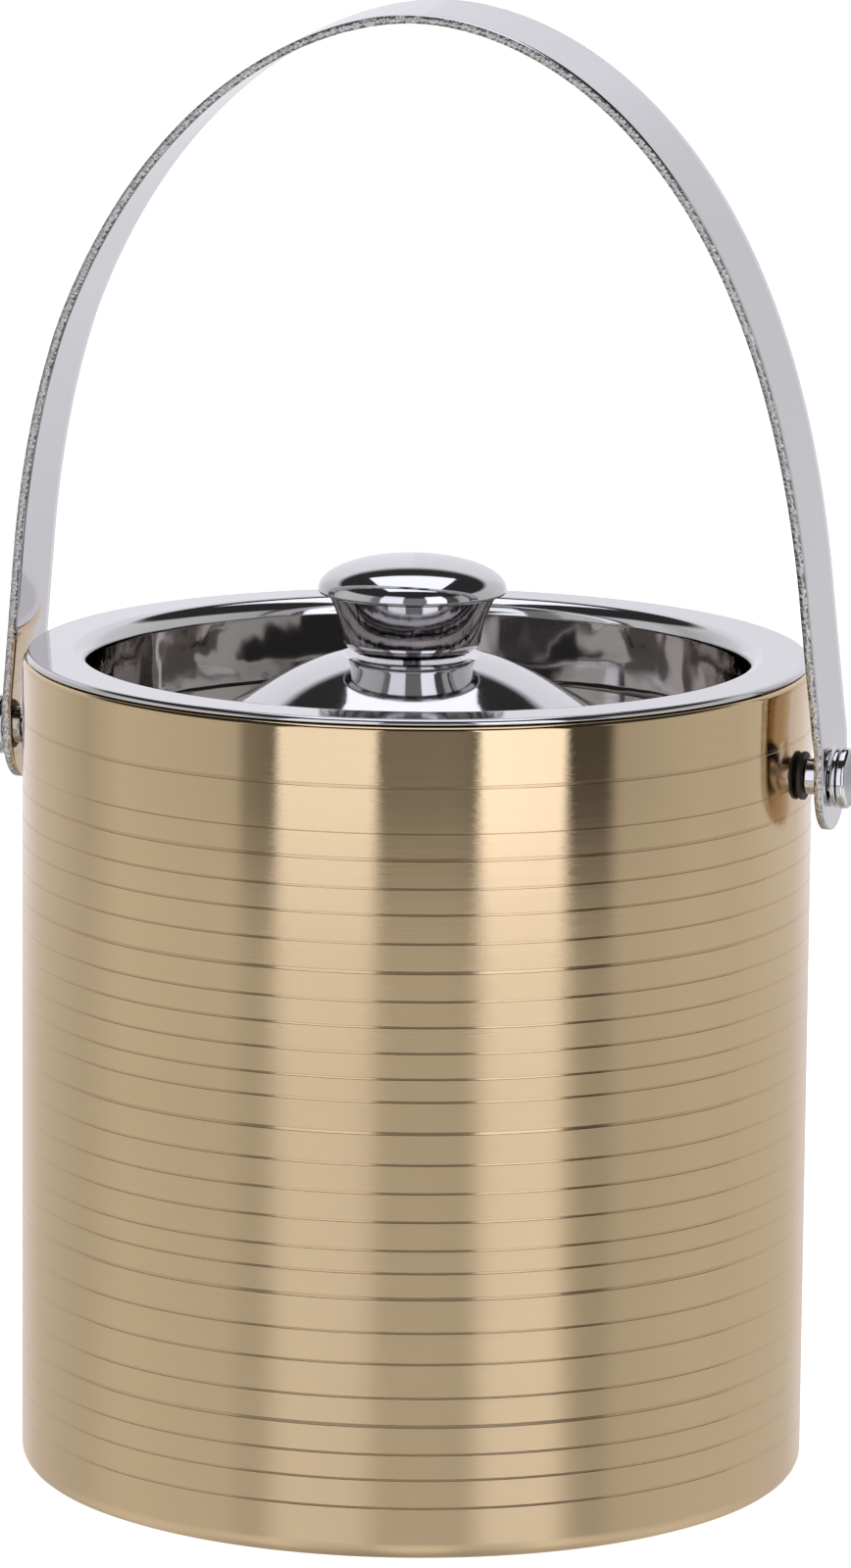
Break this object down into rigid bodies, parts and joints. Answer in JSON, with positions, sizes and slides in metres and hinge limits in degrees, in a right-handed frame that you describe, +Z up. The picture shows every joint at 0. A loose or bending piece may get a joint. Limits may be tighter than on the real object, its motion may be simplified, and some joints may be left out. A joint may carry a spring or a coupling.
{
  "type": "ice bucket",
  "caption": "Double-walled round ice bucket with a swinging strap handle over the top and a recessed, lift-off domed lid with a knob.",
  "frame": {"origin": "centre of the base, on the surface the bucket stands on", "axes": "+Z up along the bucket's axis, +X along the handle's pivot axis to the right-hand pivot, -Y the front"},
  "size_m": [0.1618, 0.14, 0.2624],
  "materials": {
    "champagne_steel": "stainless steel brushed round the bucket, coated champagne gold, with polished turned lines",
    "polished_steel": "mirror-polished stainless steel",
    "satin_steel": "plain satin stainless steel",
    "black_fibre": "dark fibre washer"
  },
  "bodies": {
    "bucket": {"outer_shell": "champagne_steel", "base_disc": "satin_steel", "inner_liner": "polished_steel", "right_pivot_bolt": "polished_steel", "right_head_washer": "polished_steel", "right_spacer_sleeve": "polished_steel", "right_shell_washer": "black_fibre", "right_backing_plate": "satin_steel", "right_pivot_nut": "satin_steel", "left_pivot_bolt": "polished_steel", "left_head_washer": "polished_steel", "left_spacer_sleeve": "polished_steel", "left_shell_washer": "black_fibre", "left_backing_plate": "satin_steel", "left_pivot_nut": "satin_steel"},
    "handle": {"handle_strap": "polished_steel"},
    "lid": {"lid": "polished_steel", "knob_body": "polished_steel", "knob_cap": "polished_steel", "knob_washer": "satin_steel", "knob_screw": "satin_steel"}
  },
  "joints": [
    {"name": "handle_swing", "type": "hinge", "parent": "bucket", "child": "handle", "pos_m": [0, 0, 0.129], "axis": [1, 0, 0], "range_deg": [-146, 138]},
    {"name": "lid_lift", "type": "slide", "parent": "bucket", "child": "lid", "axis": [0, 0, 1], "range_m": [0, 0.06]}
  ]
}
